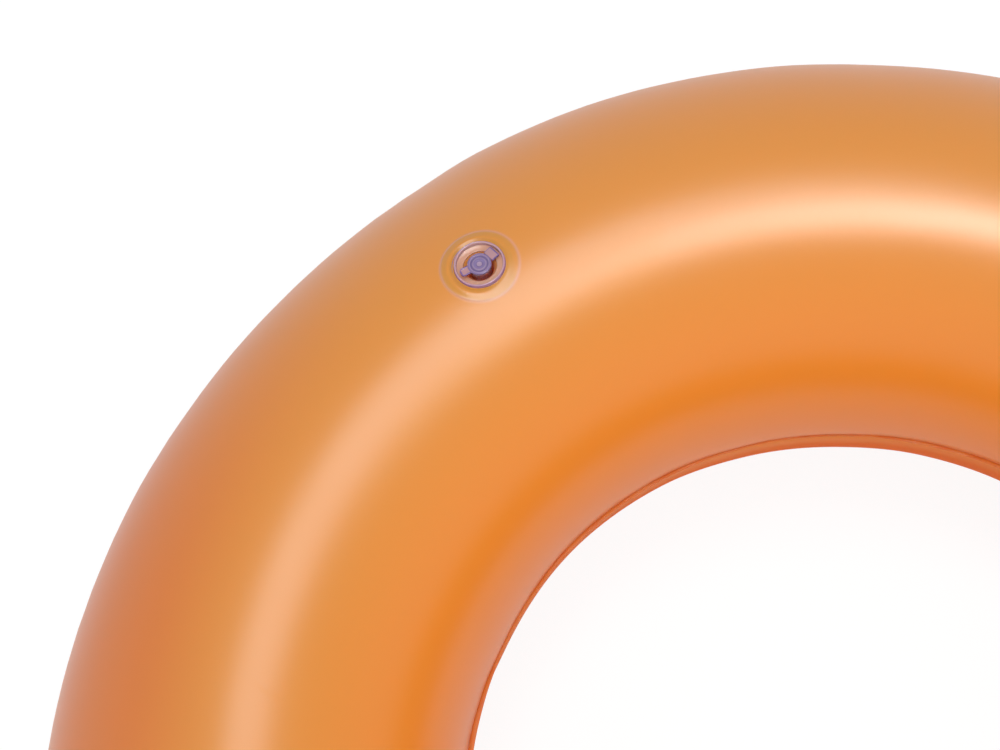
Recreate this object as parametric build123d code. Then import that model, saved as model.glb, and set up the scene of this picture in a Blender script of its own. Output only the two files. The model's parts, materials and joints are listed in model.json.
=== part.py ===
"""Inflatable swim ring of welded vinyl film with a push-in blow valve.

Millimetres, +Z up. The ring lies flat on the floor, its hole's axis is the Z axis, and the
origin is on the floor at the middle of the hole. The valve stands on the +X side, near the
top of the tube.
"""

import os
from math import cos, radians, sin, sqrt

from build123d import *

# Ring: two flat film rings welded along their edges and blown up into a tube.
centre_radius = 262.0  # from the hole's axis to the middle of the tube
tube_radius = 92.5  # outside of the film
film = 0.25  # wall of the tube
resting_depth = 0.4  # how far the floor flattens the soft tube
outer_weld_width = 3.0  # fused edge that stands out round the outside
inner_weld_width = 1.5  # fused edge that stands into the hole

# Flange: a curved plate welded under the film, with a rounded collar and a shelf inside it.
valve_angle = 86.0  # round the tube, from its outermost line to the top
flange_radius = 17.5
flange_thickness = 0.6
collar_radius = 11.3
collar_wall = 1.0
collar_height = 1.3  # above the film at the valve
collar_round = 0.48  # of the collar's lip, as a share of its wall
hole_clearance = 0.2  # between the collar and the film's edge
shelf_drop = 0.7  # top of the shelf below the film, at the collar
shelf_slope = 0.4  # further drop at the shelf's inner edge
shelf_thickness = 0.8
shelf_round = 0.25

# Stem: the mouthpiece tube, which sits inside the ring until it is pulled out.
stem_radius = 4.7
stem_wall = 1.2
stem_top = 0.1  # top of the rim above the film
stem_length = 16.6
rim_lip = 0.6  # how far the rim stands out from the stem
rim_thickness = 1.0
rim_round = 0.25
mouth_chamfer = 0.3
seat_ledge = 0.5  # inward lip at the bottom that the flap shuts against
seat_thickness = 1.0
throat_gap = 2.1  # between the rim and the shelf's inner edge

# Bellows: the thin skirt between the shelf and the stem, which turns over as the stem moves.
bellows_wall = 0.5
bellows_setback = 0.1  # from the shelf's inner edge
bellows_foot_gap = 1.4  # between the stem and the outside of the skirt's foot
bellows_depth = 12.5  # underside of its foot below the film

# Plug: a flat head with a tapered stopper under it and a tab to pull.
head_thickness = 1.0
head_round = 0.3
stopper_clearance = 0.2  # all round, in the mouth of the stem
stopper_taper = 1.1  # how much its radius shrinks towards its tip
stopper_length = 4.5
stopper_round = 0.6
core_radius = 1.1  # blind hole in the middle of the head
core_depth = 0.6
tab_angle = 84.0  # direction of the tab round the valve's axis
tab_clearance = 1.1  # between the tab's end and the collar
tab_width = 4.0
tab_thickness = 0.7
tab_round = 1.2

# Tether: a strap folded over itself, with its fold as the plug's hinge.
tether_angle = -82.0  # direction of the fold round the valve's axis
tether_width = 6.0
leaf_thickness = 0.65
leaf_gap = 0.3
fold_clearance = 0.3  # between the fold's corners and the collar

# Check flap: a thin disc under the stem that swings down to let air in.
flap_inset = 0.5  # of its edge from the stem's outside
flap_thickness = 0.4
flap_gap = 0.1
flap_hinge_inset = 0.1
flap_tongue_width = 4.0
flap_hinge_angle = 98.0  # direction of its hinge round the valve's axis

# Places and sizes that follow from those above.
seam_height = tube_radius - resting_depth
outer_seam_radius = centre_radius + tube_radius
inner_seam_radius = centre_radius - tube_radius
valve_axis = Vector(cos(radians(valve_angle)), 0, sin(radians(valve_angle)))
valve_outward = Vector(sin(radians(valve_angle)), 0, -cos(radians(valve_angle)))
valve_point = Vector(centre_radius, 0, seam_height) + valve_axis * tube_radius
valve_plane = Plane(origin=valve_point, x_dir=valve_outward, z_dir=valve_axis)
collar_inner_radius = collar_radius - collar_wall
bore_radius = stem_radius - stem_wall
rim_radius = stem_radius + rim_lip
throat_radius = rim_radius + throat_gap
stem_bottom = stem_top - stem_length
shelf_bottom = -shelf_drop - shelf_slope - shelf_thickness
head_top = stem_top + head_thickness
fold_radius = leaf_gap / 2 + leaf_thickness
fold_height = stem_top + leaf_gap / 2
fold_distance = sqrt((collar_inner_radius - fold_clearance) ** 2 - (tether_width / 2) ** 2) - fold_radius


def tube_section(radius, bottom):
    """Section of the tube with a given radius, cut flat at a height above the floor."""
    disc = Pos(centre_radius, seam_height) * Circle(radius)
    below = Pos(centre_radius, bottom - radius) * Rectangle(4 * radius, 2 * radius)
    return disc - below


def film_section():
    """Section of the whole film wall."""
    return tube_section(tube_radius, 0) - tube_section(tube_radius - film, film)


def upper_film():
    """The top ring of film, with the round hole for the valve's collar."""
    above = Pos(centre_radius, seam_height + film + tube_radius) * Rectangle(
        4 * tube_radius, 2 * tube_radius
    )
    skin = revolve(Plane.XZ * (film_section() & above), Axis.Z)
    return skin - valve_cylinder(collar_radius + hole_clearance)


def lower_film():
    """The bottom ring of film, with a narrow flat band where it rests."""
    under = Pos(centre_radius, seam_height - film - tube_radius) * Rectangle(
        4 * tube_radius, 2 * tube_radius
    )
    return revolve(Plane.XZ * (film_section() & under), Axis.Z)


def weld_seam(inside, outside):
    """A flat ring of the two films fused together, between two radii."""
    width = outside - inside
    section = Pos(inside + width / 2, seam_height) * Rectangle(width, 2 * film)
    return revolve(Plane.XZ * section, Axis.Z)


def outer_weld_seam():
    """The fused edge round the outside of the ring."""
    return weld_seam(outer_seam_radius - film, outer_seam_radius + outer_weld_width)


def inner_weld_seam():
    """The fused edge round the hole."""
    return weld_seam(inner_seam_radius - inner_weld_width, inner_seam_radius + film)


def valve_cylinder(radius):
    """A cylinder on the valve's axis, through the top wall of the tube only."""
    return valve_plane * Cylinder(radius, tube_radius / 2)


def turned(points, rounds=None):
    """A solid turned round the valve's own Z axis from section points, with some corners rounded.

    rounds maps the number of a point to the radius of its corner.
    """
    section = make_face(Polyline(*points, close=True))
    for number, size in (rounds or {}).items():
        corner = section.vertices().sort_by_distance(Vector(*points[number], 0))[0]
        section = fillet(corner, size)
    return revolve(Plane.XZ * section, Axis.Z)


def valve_flange():
    """The welded plate, the collar through the film, and the shelf inside the collar."""
    top = tube_radius - film
    sheet = tube_section(top, film) - tube_section(top - flange_thickness, film)
    plate = revolve(Plane.XZ * sheet, Axis.Z) & valve_cylinder(flange_radius)
    plate -= valve_cylinder(collar_inner_radius)
    lip_round = collar_round * collar_wall
    ring = turned(
        [
            (throat_radius, -shelf_drop - shelf_slope),
            (collar_inner_radius, -shelf_drop),
            (collar_inner_radius, collar_height),
            (collar_radius, collar_height),
            (collar_radius, shelf_bottom),
            (throat_radius, shelf_bottom),
        ],
        {0: shelf_round, 1: shelf_round, 2: lip_round, 3: lip_round},
    )
    return plate + valve_plane * ring


def valve_bellows():
    """The skirt that hangs from the shelf and carries the stem at its foot."""
    top_radius = throat_radius + bellows_setback
    foot_radius = stem_radius + bellows_foot_gap
    skirt = turned(
        [
            (top_radius, shelf_bottom),
            (top_radius + bellows_wall, shelf_bottom),
            (foot_radius, -bellows_depth),
            (stem_radius, -bellows_depth),
            (stem_radius, bellows_wall - bellows_depth),
            (foot_radius - bellows_wall, bellows_wall - bellows_depth),
        ]
    )
    return valve_plane * skirt


def valve_stem():
    """The mouthpiece tube, with its rim on top and the flap's seat at the bottom."""
    rim_bottom = stem_top - rim_thickness
    seat_radius = bore_radius - seat_ledge
    tube = turned(
        [
            (seat_radius, stem_bottom),
            (stem_radius, stem_bottom),
            (stem_radius, rim_bottom),
            (rim_radius, rim_bottom),
            (rim_radius, stem_top),
            (bore_radius + mouth_chamfer, stem_top),
            (bore_radius, stem_top - mouth_chamfer),
            (bore_radius, stem_bottom + seat_thickness),
            (seat_radius, stem_bottom + seat_thickness),
        ],
        {3: rim_round},
    )
    return valve_plane * tube


def stem_plug():
    """The plug: its round head, the tapered stopper and the pull tab."""
    stopper_radius = bore_radius - stopper_clearance
    tip_radius = stopper_radius - stopper_taper
    body = turned(
        [
            (0, stem_top - stopper_length),
            (tip_radius, stem_top - stopper_length),
            (stopper_radius, stem_top),
            (rim_radius, stem_top),
            (rim_radius, head_top),
            (core_radius, head_top),
            (core_radius, head_top - core_depth),
            (0, head_top - core_depth),
        ],
        {1: stopper_round, 4: head_round},
    )
    tab_reach = collar_inner_radius - tab_clearance
    outline = Pos(tab_reach / 2, 0) * Rectangle(tab_reach, tab_width)
    outline = fillet(outline.vertices().group_by(Axis.X)[-1], tab_round)
    tab = Pos(0, 0, head_top - tab_thickness) * extrude(outline, tab_thickness)
    tab -= Pos(0, 0, head_top) * Cylinder(rim_radius - head_round, 4 * tab_thickness)
    return valve_plane * (body + Rot(0, 0, tab_angle) * tab)


def tether_strap():
    """The strap from the stem's rim to the plug's head, folded over at its hinge."""
    half = Pos(fold_distance / 2, 0)
    end = Pos(fold_distance, 0)
    outer = half * Rectangle(fold_distance, 2 * fold_radius) + end * Circle(fold_radius)
    inner = half * Rectangle(fold_distance, leaf_gap) + end * Circle(leaf_gap / 2)
    section = Plane.XZ * Pos(0, fold_height) * (outer - inner)
    strap = extrude(section, tether_width / 2, both=True)
    strap -= Cylinder(rim_radius, 8 * fold_radius)
    return valve_plane * (Rot(0, 0, tether_angle) * strap)


def check_flap():
    """The non-return flap under the stem, with the tongue that is its hinge."""
    hinge_distance = stem_radius - flap_hinge_inset
    disc = Circle(stem_radius - flap_inset)
    tongue = Pos(hinge_distance / 2, 0) * Rectangle(hinge_distance, flap_tongue_width)
    sheet = extrude(disc + tongue, -flap_thickness)
    bead = Pos(hinge_distance, 0, -flap_thickness / 2) * Rot(90, 0, 0)
    sheet += bead * Cylinder(flap_thickness / 2, flap_tongue_width)
    flap = Pos(0, 0, stem_bottom - flap_gap) * Rot(0, 0, flap_hinge_angle) * sheet
    return valve_plane * flap


parts = {
    "upper_film": upper_film,
    "lower_film": lower_film,
    "outer_weld_seam": outer_weld_seam,
    "inner_weld_seam": inner_weld_seam,
    "valve_flange": valve_flange,
    "valve_bellows": valve_bellows,
    "valve_stem": valve_stem,
    "stem_plug": stem_plug,
    "tether_strap": tether_strap,
    "check_flap": check_flap,
}

os.makedirs("parts", exist_ok=True)
for name, make in parts.items():
    export_step(make(), f"parts/{name}.step")
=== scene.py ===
"""Swim ring of frosted orange vinyl with its push-in blow valve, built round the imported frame."""

import json
import logging
import math
from dataclasses import dataclass
from enum import Enum
from typing import Callable, Sequence

import bpy
import numpy as np
from mathutils import Matrix, Vector


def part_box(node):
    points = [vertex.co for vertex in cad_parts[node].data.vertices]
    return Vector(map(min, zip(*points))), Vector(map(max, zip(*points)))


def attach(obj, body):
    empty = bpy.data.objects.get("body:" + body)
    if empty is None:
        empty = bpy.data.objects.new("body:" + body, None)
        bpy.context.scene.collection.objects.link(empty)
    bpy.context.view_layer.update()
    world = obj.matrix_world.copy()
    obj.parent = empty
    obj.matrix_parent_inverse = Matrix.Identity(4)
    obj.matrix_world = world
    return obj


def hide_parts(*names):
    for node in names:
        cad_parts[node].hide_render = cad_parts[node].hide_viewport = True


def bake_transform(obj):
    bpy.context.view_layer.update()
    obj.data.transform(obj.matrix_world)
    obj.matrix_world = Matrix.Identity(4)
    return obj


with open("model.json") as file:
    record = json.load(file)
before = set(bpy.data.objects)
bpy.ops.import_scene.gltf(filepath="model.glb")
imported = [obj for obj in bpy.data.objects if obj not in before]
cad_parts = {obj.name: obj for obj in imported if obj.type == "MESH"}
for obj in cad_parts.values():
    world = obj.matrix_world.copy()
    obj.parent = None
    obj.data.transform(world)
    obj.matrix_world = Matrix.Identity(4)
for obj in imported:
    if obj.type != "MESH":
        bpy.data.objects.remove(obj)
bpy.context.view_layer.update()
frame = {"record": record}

MM = 0.001
log = logging.getLogger("swim_ring")

Array = np.ndarray
Point = tuple[float, float, float]
Span = tuple[float, float]
Outline = list[Span]


# ---------------------------------------------------------------- modelling by hand


def work_on(piece: bpy.types.Object) -> None:
    """Makes a piece the only selected and the active one."""
    bpy.ops.object.select_all(action="DESELECT")
    piece.select_set(True)
    bpy.context.view_layer.objects.active = piece


def edit(kind: str = "VERT") -> None:
    """Goes into edit mode on the active piece, selecting by VERT, EDGE or FACE."""
    bpy.ops.object.mode_set(mode="EDIT")
    bpy.ops.mesh.select_mode(type=kind)


def leave() -> None:
    """Goes back to object mode."""
    bpy.ops.object.mode_set(mode="OBJECT")


def coordinates(piece: bpy.types.Object) -> Array:
    """The places of a piece's vertices.

    Args:
        piece: A mesh object in object mode.

    Returns:
        One row of x, y and z for each vertex, in metres.
    """
    flat = np.empty(len(piece.data.vertices) * 3)
    piece.data.vertices.foreach_get("co", flat)
    return flat.reshape(-1, 3)


def move_to(piece: bpy.types.Object, places: Array) -> None:
    """Moves a piece's vertices to the rows of x, y and z given."""
    piece.data.vertices.foreach_set("co", places.ravel())
    piece.data.update()


def face_centres(piece: bpy.types.Object) -> Array:
    """The middle of each face of a piece, one row each."""
    flat = np.empty(len(piece.data.polygons) * 3)
    piece.data.polygons.foreach_get("center", flat)
    return flat.reshape(-1, 3)


def select_faces(piece: bpy.types.Object, chosen: Array) -> None:
    """Selects only the chosen faces of a piece and goes into edit mode.

    Args:
        piece: The active mesh object, in object mode.
        chosen: True or False for each face.
    """
    edit("FACE")
    bpy.ops.mesh.select_all(action="DESELECT")
    leave()
    piece.data.polygons.foreach_set("select", chosen)
    edit("FACE")


def select_edges(piece: bpy.types.Object, test: Callable[[Vector, Vector], bool]) -> None:
    """Selects only the edges whose two ends pass a test, and goes into edit mode."""
    edit("EDGE")
    bpy.ops.mesh.select_all(action="DESELECT")
    leave()
    points = piece.data.vertices
    for line in piece.data.edges:
        first, last = line.vertices
        line.select = test(points[first].co, points[last].co)
    edit("EDGE")


def select_border(piece: bpy.types.Object, wires: bool, test: Callable[[Vector, Vector], bool]) -> None:
    """Selects the open edges whose two ends pass a test, and goes into edit mode.

    Args:
        piece: The active mesh object, in object mode.
        wires: Whether edges without any face count too.
        test: Says of an edge's two ends whether the edge is wanted.
    """
    edit("EDGE")
    bpy.ops.mesh.select_all(action="DESELECT")
    bpy.ops.mesh.select_non_manifold(extend=False, use_wire=wires, use_boundary=True, use_multi_face=False)
    leave()
    points = piece.data.vertices
    chosen: set[int] = set()
    for line in piece.data.edges:
        first, last = line.vertices
        line.select = line.select and test(points[first].co, points[last].co)
        if line.select:
            chosen.update((first, last))
    for number, point in enumerate(points):
        point.select = number in chosen
    edit("EDGE")


def drawn(name: str, outline: Outline) -> bpy.types.Object:
    """Draws a chain of edges in the XZ plane, by extruding one point from the last.

    Args:
        name: The new piece's name.
        outline: The chain's points as x and z, in millimetres.

    Returns:
        The piece, in edit mode with all of it selected.
    """
    bpy.ops.object.select_all(action="DESELECT")
    first = (outline[0][0] * MM, 0.0, outline[0][1] * MM)
    bpy.ops.mesh.primitive_plane_add(size=MM, location=first)
    piece = bpy.context.object
    piece.name = piece.data.name = name
    bpy.ops.object.transform_apply()
    edit("VERT")
    bpy.ops.mesh.merge(type="CENTER")
    for before, after in zip(outline, outline[1:]):
        step = ((after[0] - before[0]) * MM, 0.0, (after[1] - before[1]) * MM)
        bpy.ops.mesh.extrude_region_move(TRANSFORM_OT_translate={"value": step})
    bpy.ops.mesh.select_all(action="SELECT")
    return piece


def tidy_shell(width: float = 1e-6) -> None:
    """Merges doubled points and turns the faces outwards, in edit mode."""
    bpy.ops.mesh.select_all(action="SELECT")
    bpy.ops.mesh.remove_doubles(threshold=width)
    bpy.ops.mesh.normals_make_consistent(inside=False)
    leave()


def turned(name: str, outline: Outline, steps: int) -> bpy.types.Object:
    """Turns an outline of radius and height, in millimetres, once round the Z axis.

    Args:
        name: The new piece's name.
        outline: The section's points, closed on themselves or with both ends on the axis.
        steps: How many faces go round.

    Returns:
        The closed piece, in object mode.
    """
    piece = drawn(name, outline)
    bpy.ops.mesh.spin(steps=steps, angle=math.tau, center=(0, 0, 0), axis=(0, 0, 1))
    tidy_shell()
    return piece


def rounded(corners: Sequence[Point], closed: bool = True, steps: int = 6) -> Outline:
    """An outline with rounded corners.

    Args:
        corners: Each corner's x and z and the radius of its rounding, in millimetres.
        closed: Whether the outline ends where it starts.
        steps: How many edges make one rounding.

    Returns:
        The outline's points, with the first one repeated at the end where it is closed.
    """
    points: Outline = []
    count = len(corners)
    for number, (x, z, radius) in enumerate(corners):
        if radius == 0 or (not closed and number in (0, count - 1)):
            points.append((x, z))
            continue
        here = Vector((x, z))
        back = (Vector(corners[number - 1][:2]) - here).normalized()
        ahead = (Vector(corners[(number + 1) % count][:2]) - here).normalized()
        half = back.angle(ahead) / 2
        middle = here + (back + ahead).normalized() * radius / math.sin(half)
        start = here + back * radius / math.tan(half) - middle
        end = here + ahead * radius / math.tan(half) - middle
        sweep = start.angle_signed(end)
        for step in range(steps + 1):
            spoke = start.copy()
            spoke.rotate(Matrix.Rotation(-sweep * step / steps, 2))
            points.append(tuple(middle + spoke))
    if closed:
        points.append(points[0])
    return points


def finish_with(piece: bpy.types.Object, kind: str, **settings: object) -> None:
    """Adds a modifier with its settings to a piece and applies it."""
    work_on(piece)
    modifier = piece.modifiers.new(kind.title(), kind)
    for key, value in settings.items():
        setattr(modifier, key, value)
    bpy.ops.object.modifier_apply(modifier=modifier.name)


def turn_by(piece: bpy.types.Object, matrix: Matrix) -> None:
    """Moves a piece by a matrix and leaves it at the origin unturned."""
    work_on(piece)
    piece.matrix_world = matrix
    bpy.ops.object.transform_apply()


def smooth(piece: bpy.types.Object, angle: float | None = None) -> None:
    """Shades a piece smoothly, everywhere or only across edges under an angle in degrees."""
    work_on(piece)
    if angle is None:
        bpy.ops.object.shade_smooth()
    else:
        bpy.ops.object.shade_smooth_by_angle(angle=math.radians(angle))


def dressed(
    piece: bpy.types.Object,
    node: str,
    finish: bpy.types.Material,
    body: str | None = "float",
    angle: float | None = None,
) -> bpy.types.Object:
    """Gives a piece its finish and its CAD node's place in the frame.

    Args:
        piece: The modelled piece.
        node: The CAD node that it replaces.
        finish: The piece's material.
        body: The body it rides on, or None to leave it on no body.
        angle: Edges sharper than this, in degrees, stay sharp; None smooths them all.

    Returns:
        The same piece.
    """
    smooth(piece, angle)
    piece.data.materials.append(finish)
    if body:
        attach(piece, body)
    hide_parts(node)
    return piece


# ---------------------------------------------------------------- shader sums


class Reckoned:
    """A shader's number or colour, with Python's operators as Math nodes."""

    def __init__(self, graph: "Graph", socket: bpy.types.NodeSocket) -> None:
        """Wraps an output socket of a graph's nodes."""
        self.graph = graph
        self.socket = socket

    def reckon(self, operation: str, *values: object) -> "Reckoned":
        """Adds one Math node.

        Args:
            operation: The Math node's operation.
            values: Its numbers or sockets, in order.

        Returns:
            The node's result.
        """
        return self.graph.add("Math", {"operation": operation}, dict(enumerate(values)))

    def __add__(self, other: object) -> "Reckoned":
        """Sum."""
        return self.reckon("ADD", self, other)

    __radd__ = __add__

    def __sub__(self, other: object) -> "Reckoned":
        """Difference."""
        return self.reckon("SUBTRACT", self, other)

    def __rsub__(self, other: object) -> "Reckoned":
        """Difference from a number."""
        return self.reckon("SUBTRACT", other, self)

    def __mul__(self, other: object) -> "Reckoned":
        """Product."""
        return self.reckon("MULTIPLY", self, other)

    __rmul__ = __mul__

    def __truediv__(self, other: object) -> "Reckoned":
        """Quotient."""
        return self.reckon("DIVIDE", self, other)

    def __pow__(self, other: object) -> "Reckoned":
        """Power."""
        return self.reckon("POWER", self, other)

    def __neg__(self) -> "Reckoned":
        """Opposite."""
        return self.reckon("MULTIPLY", self, -1.0)

    def __abs__(self) -> "Reckoned":
        """Size without its sign."""
        return self.reckon("ABSOLUTE", self)

    def above(self, level: float) -> "Reckoned":
        """1 where this is above a level and 0 elsewhere."""
        return self.reckon("GREATER_THAN", self, level)

    def ease(self, low: float, high: float) -> "Reckoned":
        """0 at low, 1 at high, and a smooth step between."""
        settings = {"interpolation_type": "SMOOTHSTEP"}
        values = {"Value": self, "From Min": low, "From Max": high}
        return self.graph.add("MapRange", settings, values)

    def bell(self, width: float) -> "Reckoned":
        """1 where this is 0, falling off like a bell over a width."""
        return self.reckon("EXPONENT", -(self / width) ** 2.0)


class Graph:
    """A tree of shader nodes."""

    def __init__(self, tree: bpy.types.NodeTree) -> None:
        """Works on a node tree."""
        self.nodes = tree.nodes
        self.links = tree.links

    def put(self, socket: bpy.types.NodeSocket, value: object) -> None:
        """Links or sets one input socket."""
        if isinstance(value, Reckoned):
            value = value.socket
        if isinstance(value, bpy.types.NodeSocket):
            self.links.new(value, socket)
        elif isinstance(value, (tuple, list)) and socket.type == "RGBA":
            socket.default_value = (*value[:3], 1.0)
        else:
            socket.default_value = value

    def add(
        self,
        kind: str,
        settings: dict[str, object] | None = None,
        values: dict[object, object] | None = None,
        output: int | str = 0,
    ) -> Reckoned:
        """Adds one node.

        Args:
            kind: The node's type, without ShaderNode in front.
            settings: The node's own settings, which are set first.
            values: Numbers or links for its input sockets, by number or name.
            output: The output that is wanted.

        Returns:
            That output.
        """
        node = self.nodes.new("ShaderNode" + kind)
        for key, value in (settings or {}).items():
            setattr(node, key, value)
        for key, value in (values or {}).items():
            self.put(node.inputs[key], value)
        return Reckoned(self, node.outputs[output])

    def in_view(self) -> Reckoned:
        """1 for the camera's rays, also by way of gloss or clear vinyl, and 0 for other light."""
        path = self.add("LightPath").socket.node
        seen = Reckoned(self, path.outputs["Is Camera Ray"])
        for kind in ("Is Glossy Ray", "Is Transmission Ray"):
            seen = seen.reckon("MAXIMUM", seen, Reckoned(self, path.outputs[kind]))
        return seen


class Recipe(Graph):
    """One material's nodes."""

    def __init__(self, name: str) -> None:
        """Starts an empty material with a Principled shader."""
        self.material = bpy.data.materials.new(name)
        self.material.use_nodes = True
        super().__init__(self.material.node_tree)
        self.shader = self.nodes["Principled BSDF"]

    def place(self) -> Reckoned:
        """The point that is shaded, in the frame's own coordinates."""
        return self.add("TexCoord", output="Object")

    def parts(self, vector: Reckoned) -> tuple[Reckoned, Reckoned, Reckoned]:
        """The three numbers of a vector."""
        node = self.add("SeparateXYZ", values={0: vector}).socket.node
        return tuple(Reckoned(self, output) for output in node.outputs)

    def noise(self, place: Reckoned, size: float, detail: float = 2.0) -> Reckoned:
        """Soft noise about 0.5, with patches of a size in metres."""
        values = {"Vector": place, "Scale": 1.0 / size, "Detail": detail}
        return self.add("TexNoise", values=values)

    def away_from(self, place: Reckoned, middle: Vector, axis: Vector) -> Reckoned:
        """The distance of a place from a line through a point along a unit axis."""
        offset = self.add("VectorMath", {"operation": "SUBTRACT"}, {0: place, 1: tuple(middle)})
        side = self.add("VectorMath", {"operation": "CROSS_PRODUCT"}, {0: offset, 1: tuple(axis)})
        return self.add("VectorMath", {"operation": "LENGTH"}, {0: side}, "Value")

    def along(self, place: Reckoned, start: Vector, *ways: Vector) -> list[Reckoned]:
        """How far a place is from a starting point along each of some unit vectors."""
        offset = self.add("VectorMath", {"operation": "SUBTRACT"}, {0: place, 1: tuple(start)})
        dot = {"operation": "DOT_PRODUCT"}
        return [self.add("VectorMath", dot, {0: offset, 1: tuple(way)}, "Value") for way in ways]

    def mixed(self, factor: object, first: object, second: object) -> Reckoned:
        """Two colours mixed by a factor."""
        settings = {"data_type": "RGBA"}
        node = self.add("Mix", settings, {"Factor": factor}).socket.node
        self.put(node.inputs[6], first)
        self.put(node.inputs[7], second)
        return Reckoned(self, node.outputs[2])

    def relief(self, height: Reckoned, unit: float) -> Reckoned:
        """A normal from a height, given in a unit of so many metres."""
        return self.add("Bump", values={"Height": height, "Distance": unit, "Strength": 1.0})

    def mixed_in(self, share: object, other: Reckoned) -> bpy.types.Material:
        """Mixes a share of another shader into the Principled one, and gives the material."""
        both = self.add("MixShader", values={0: share, 1: self.shader.outputs[0], 2: other})
        self.links.new(both.socket, self.nodes["Material Output"].inputs["Surface"])
        return self.material

    def lit_through(self, share: float, colour: Point) -> bpy.types.Material:
        """Lets a share of the light through the thin wall, and gives the material."""
        return self.mixed_in(share, self.add("BsdfTranslucent", values={"Color": colour}))

    def finish(self, **values: object) -> bpy.types.Material:
        """Sets the Principled shader's sockets by name, with _ for each space, and gives the material."""
        for key, value in values.items():
            self.put(self.shader.inputs[key.replace("_", " ")], value)
        return self.material


# ---------------------------------------------------------------- the tube's shape


def mount(name: str) -> dict[str, object]:
    """The record's mount of a name."""
    return next(entry for entry in frame["record"]["mounts"] if entry["name"] == name)


@dataclass(frozen=True)
class Tube:
    """The blown-up tube's shape, in metres.

    Attributes:
        centre_radius: From the body hole's axis to the middle of the tube.
        tube_radius: Outside of the film.
        seam_height: The two welds' height above the floor.
    """

    centre_radius: float
    tube_radius: float
    seam_height: float

    @classmethod
    def from_frame(cls) -> "Tube":
        """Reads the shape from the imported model."""
        centre_radius = mount("resting_face")["pos_m"][0]
        film_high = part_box("lower_film")[1]
        low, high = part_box("outer_weld_seam")
        return cls(centre_radius, film_high[0] - centre_radius, (low[2] + high[2]) / 2)

    def polar(self, points: Array) -> tuple[Array, Array, Array]:
        """Where points are on the tube.

        Args:
            points: Rows of x, y and z.

        Returns:
            The angle round the ring, the angle round the tube from its outermost line, and
            the distance from the tube's middle line.
        """
        out = np.hypot(points[:, 0], points[:, 1]) - self.centre_radius
        up = points[:, 2] - self.seam_height
        return np.arctan2(points[:, 1], points[:, 0]), np.arctan2(up, out), np.hypot(out, up)

    def placed(self, around: Array, polar: Array, distance: Array) -> Array:
        """Points at given angles and distance from the tube's middle line."""
        radius = self.centre_radius + distance * np.cos(polar)
        height = self.seam_height + distance * np.sin(polar)
        return np.stack([radius * np.cos(around), radius * np.sin(around), height], axis=1)


def eased(table: Sequence[Span], asked: Array) -> Array:
    """Values that ease from one entry of a table to the next.

    Args:
        table: Rising places, such as angles in degrees, and the value at each.
        asked: Where the value is wanted, in the table's unit.

    Returns:
        The value at each place asked for.
    """
    stops = np.array([stop for stop, _ in table])
    values = np.array([value for _, value in table])
    places = np.interp(asked, stops, np.arange(len(stops)))
    first = np.clip(places.astype(int), 0, len(stops) - 2)
    share = places - first
    share = share * share * (3 - 2 * share)
    return values[first] * (1 - share) + values[first + 1] * share


@dataclass(frozen=True)
class Unevenness:
    """How far the soft tube swells from a true round ring.

    Attributes:
        outside: Angles round the ring in degrees and millimetres of swelling, high on its outer side.
        hole: The same for the lower side of the body hole.
        outside_at: Where round the tube the first of them is fullest, in degrees.
        hole_at: The same for the second.
        spread: How far round the tube a swelling runs, in degrees.
    """

    outside: tuple[Span, ...] = (
        (-180, 0.2), (-150, -0.6), (-118, 0.5), (-85, -0.5), (-55, -1.2), (-42, -0.8),
        (-31, 0.4), (-18, 0.8), (-7, 0.4), (-1, -0.9), (12, -1.3), (21, -1.0),
        (33, 0.0), (50, 0.4), (80, -0.7), (110, 0.5), (145, -0.4), (180, 0.2),
    )
    hole: tuple[Span, ...] = (
        (-180, 0.3), (-140, 1.1), (-100, 0.2), (-63, 0.1), (-51, 0.5), (-37, 1.4),
        (-22, 1.3), (-8, 0.4), (12, 0.0), (29, 0.7), (38, -0.3), (46, -1.1),
        (56, -0.6), (90, 0.5), (130, -0.3), (180, 0.3),
    )
    outside_at: float = 28.0
    hole_at: float = -165.0
    spread: float = 32.0

    def swelling(self, around: Array, polar: Array) -> Array:
        """How far the film stands off its round shape, in metres, at angles in radians."""
        total = np.zeros(len(around))
        for table, middle in ((self.outside, self.outside_at), (self.hole, self.hole_at)):
            off = np.degrees(polar) - middle
            off = (off + 180) % 360 - 180
            total += eased(table, np.degrees(around)) * np.exp(-((off / self.spread) ** 2)) * MM
        return total


@dataclass(frozen=True)
class Puckers:
    """The gathers beside the outer weld, where the flat film has more edge than the tube needs.

    Attributes:
        count: How many there are round the ring.
        depth: How far a gather sinks in, in metres.
        reach: How far it runs from the weld, in metres.
        wave: How far the weld's edge weaves up and down, in metres.
    """

    count: int = 96
    depth: float = 0.0022
    reach: float = 0.017
    wave: float = 0.0007

    def phase(self, around: Array) -> Array:
        """The gathers' uneven beat round the ring."""
        drift = 1.3 * np.sin(7 * around + 0.4) + 0.9 * np.sin(13 * around + 2.1)
        return self.count * around + drift

    def sink(self, around: Array, run: Array) -> Array:
        """How far the film lies inside its round shape.

        Args:
            around: Angle round the ring.
            run: Distance from the outer weld along the film, in metres.

        Returns:
            The depth in metres.
        """
        uneven = 0.7 + 0.3 * np.sin(5 * around + 1.0) + 0.25 * np.sin(11 * around + 0.3)
        reach = self.reach * (1 + 0.4 * np.sin(29 * around + 0.7) + 0.25 * np.sin(17 * around))
        fold = 1 - np.abs(np.cos(self.phase(around) / 2)) ** 0.8
        return self.depth * uneven * fold * np.exp(-((run / reach) ** 1.5))

    def weave(self, around: Array, run: Array) -> Array:
        """How far the weld's edge stands above or below its flat place, in metres."""
        return self.wave * np.sin(self.phase(around) + 0.8) * np.exp(-run / self.reach)


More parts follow.
